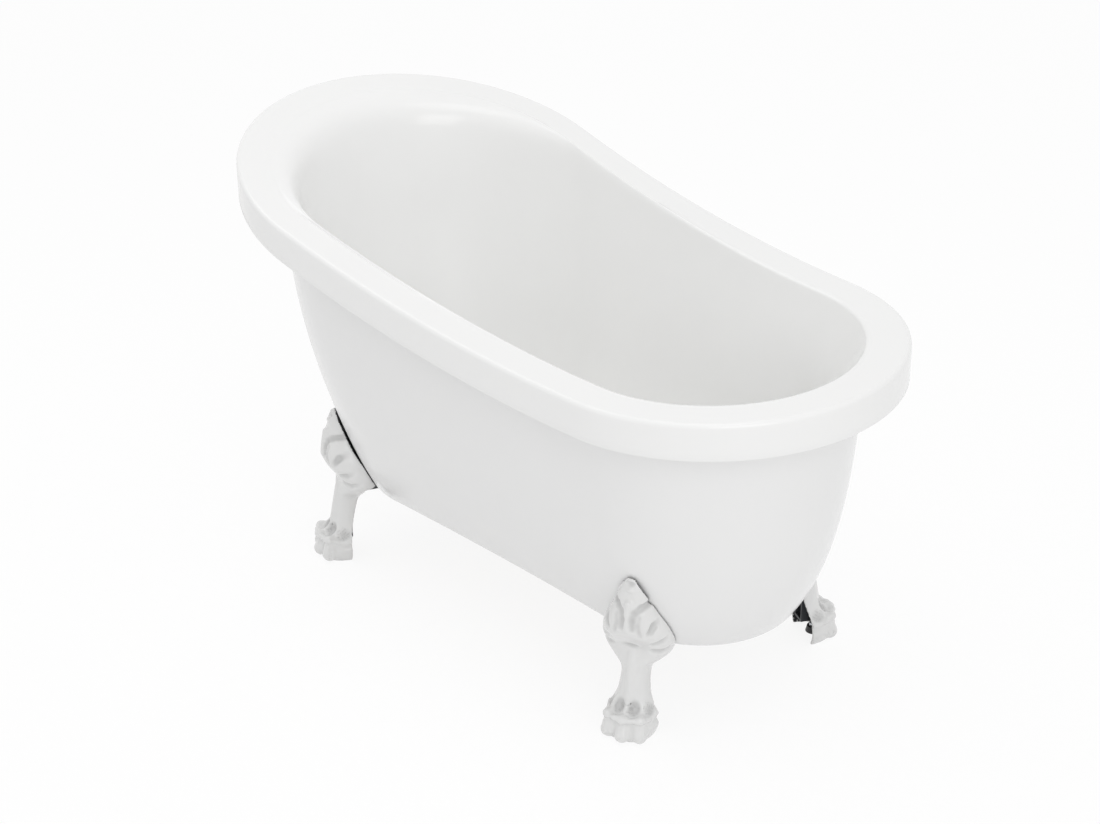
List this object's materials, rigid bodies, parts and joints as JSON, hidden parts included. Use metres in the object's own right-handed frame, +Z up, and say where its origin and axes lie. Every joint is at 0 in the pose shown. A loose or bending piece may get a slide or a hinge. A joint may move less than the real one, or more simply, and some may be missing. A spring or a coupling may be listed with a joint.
{
  "type": "bathtub",
  "caption": "Free-standing slipper bathtub with a moulded inner shell, a double-wall skirt, carved claw feet on steel legs, a push plug waste and an overflow.",
  "frame": {"origin": "on the floor under the middle of the rim, so at the bottom centre of the bath's bounding box", "axes": "+X along the bath towards the low end with the waste, +Y to the bather's left, +Z up"},
  "size_m": [1.4999, 0.7659, 0.868],
  "materials": {
    "bath_acrylic": "gloss white acrylic over glass fibre",
    "skirt_acrylic": "gloss white acrylic",
    "foot_enamel": "gloss white stoved paint on a casting",
    "frame_steel": "grey powder coat",
    "leg_steel": "dark grey powder coat",
    "zinc_steel": "zinc plated",
    "board_wood": "sealed plywood",
    "bright_chrome": "bright chrome",
    "cartridge_brass": "turned brass",
    "seal_rubber": "matt black rubber",
    "waste_plastic": "satin white moulding",
    "hose_plastic": "satin grey tube",
    "pad_plastic": "black nylon"
  },
  "bodies": {
    "bath": {"bath_shell": "bath_acrylic", "outer_skirt": "skirt_acrylic", "base_board": "board_wood", "side_rail_right": "frame_steel", "side_rail_left": "frame_steel", "head_crossbar": "frame_steel", "low_crossbar": "frame_steel", "rail_bolts": "zinc_steel", "rail_nuts": "zinc_steel", "board_screws": "zinc_steel", "foot_bolts": "zinc_steel", "foot_washers": "zinc_steel", "waste_seal_upper": "seal_rubber", "waste_seal_lower": "seal_rubber", "overflow_gasket": "seal_rubber", "waste_flange": "bright_chrome", "overflow_cover": "bright_chrome", "overflow_screw": "bright_chrome", "plug_cartridge": "cartridge_brass", "waste_body": "waste_plastic", "outlet_pipe": "waste_plastic", "outlet_nut": "waste_plastic", "overflow_body": "waste_plastic", "overflow_pipe": "hose_plastic", "claw_foot_head_right": "foot_enamel", "leg_bracket_head_right": "leg_steel", "claw_foot_head_left": "foot_enamel", "leg_bracket_head_left": "leg_steel", "claw_foot_low_right": "foot_enamel", "leg_bracket_low_right": "leg_steel", "claw_foot_low_left": "foot_enamel", "leg_bracket_low_left": "leg_steel"},
    "plug": {"plug_cap": "bright_chrome", "plug_seal": "seal_rubber"},
    "pad_head_right": {"levelling_pad_head_right": "pad_plastic"},
    "stud_head_right": {"levelling_stud_head_right": "zinc_steel"},
    "pad_head_left": {"levelling_pad_head_left": "pad_plastic"},
    "stud_head_left": {"levelling_stud_head_left": "zinc_steel"},
    "pad_low_right": {"levelling_pad_low_right": "pad_plastic"},
    "stud_low_right": {"levelling_stud_low_right": "zinc_steel"},
    "pad_low_left": {"levelling_pad_low_left": "pad_plastic"},
    "stud_low_left": {"levelling_stud_low_left": "zinc_steel"}
  },
  "joints": [
    {"name": "plug_travel", "type": "slide", "parent": "bath", "child": "plug", "axis": [0, 0, 1], "range_m": [-0.009, 0]},
    {"name": "pad_lift_head_right", "type": "slide", "parent": "bath", "child": "pad_head_right", "axis": [0, 0, -1], "range_m": [0, 0.012]},
    {"name": "stud_turn_head_right", "type": "hinge", "parent": "pad_head_right", "child": "stud_head_right", "pos_m": [-0.4187, -0.24987, 0.034], "axis": [0, 0, -1], "range_deg": [0, 2880]},
    {"name": "pad_lift_head_left", "type": "slide", "parent": "bath", "child": "pad_head_left", "axis": [0, 0, -1], "range_m": [0, 0.012]},
    {"name": "stud_turn_head_left", "type": "hinge", "parent": "pad_head_left", "child": "stud_head_left", "pos_m": [-0.4187, 0.24987, 0.034], "axis": [0, 0, -1], "range_deg": [0, 2880]},
    {"name": "pad_lift_low_right", "type": "slide", "parent": "bath", "child": "pad_low_right", "axis": [0, 0, -1], "range_m": [0, 0.012]},
    {"name": "stud_turn_low_right", "type": "hinge", "parent": "pad_low_right", "child": "stud_low_right", "pos_m": [0.4517, -0.24987, 0.034], "axis": [0, 0, -1], "range_deg": [0, 2880]},
    {"name": "pad_lift_low_left", "type": "slide", "parent": "bath", "child": "pad_low_left", "axis": [0, 0, -1], "range_m": [0, 0.012]},
    {"name": "stud_turn_low_left", "type": "hinge", "parent": "pad_low_left", "child": "stud_low_left", "pos_m": [0.4517, 0.24987, 0.034], "axis": [0, 0, -1], "range_deg": [0, 2880]}
  ],
  "couplings": [
    {"joint": "stud_turn_head_right", "follows": "pad_lift_head_right", "rad_per_m": 4188.8},
    {"joint": "stud_turn_head_left", "follows": "pad_lift_head_left", "rad_per_m": 4188.8},
    {"joint": "stud_turn_low_right", "follows": "pad_lift_low_right", "rad_per_m": 4188.8},
    {"joint": "stud_turn_low_left", "follows": "pad_lift_low_left", "rad_per_m": 4188.8}
  ]
}
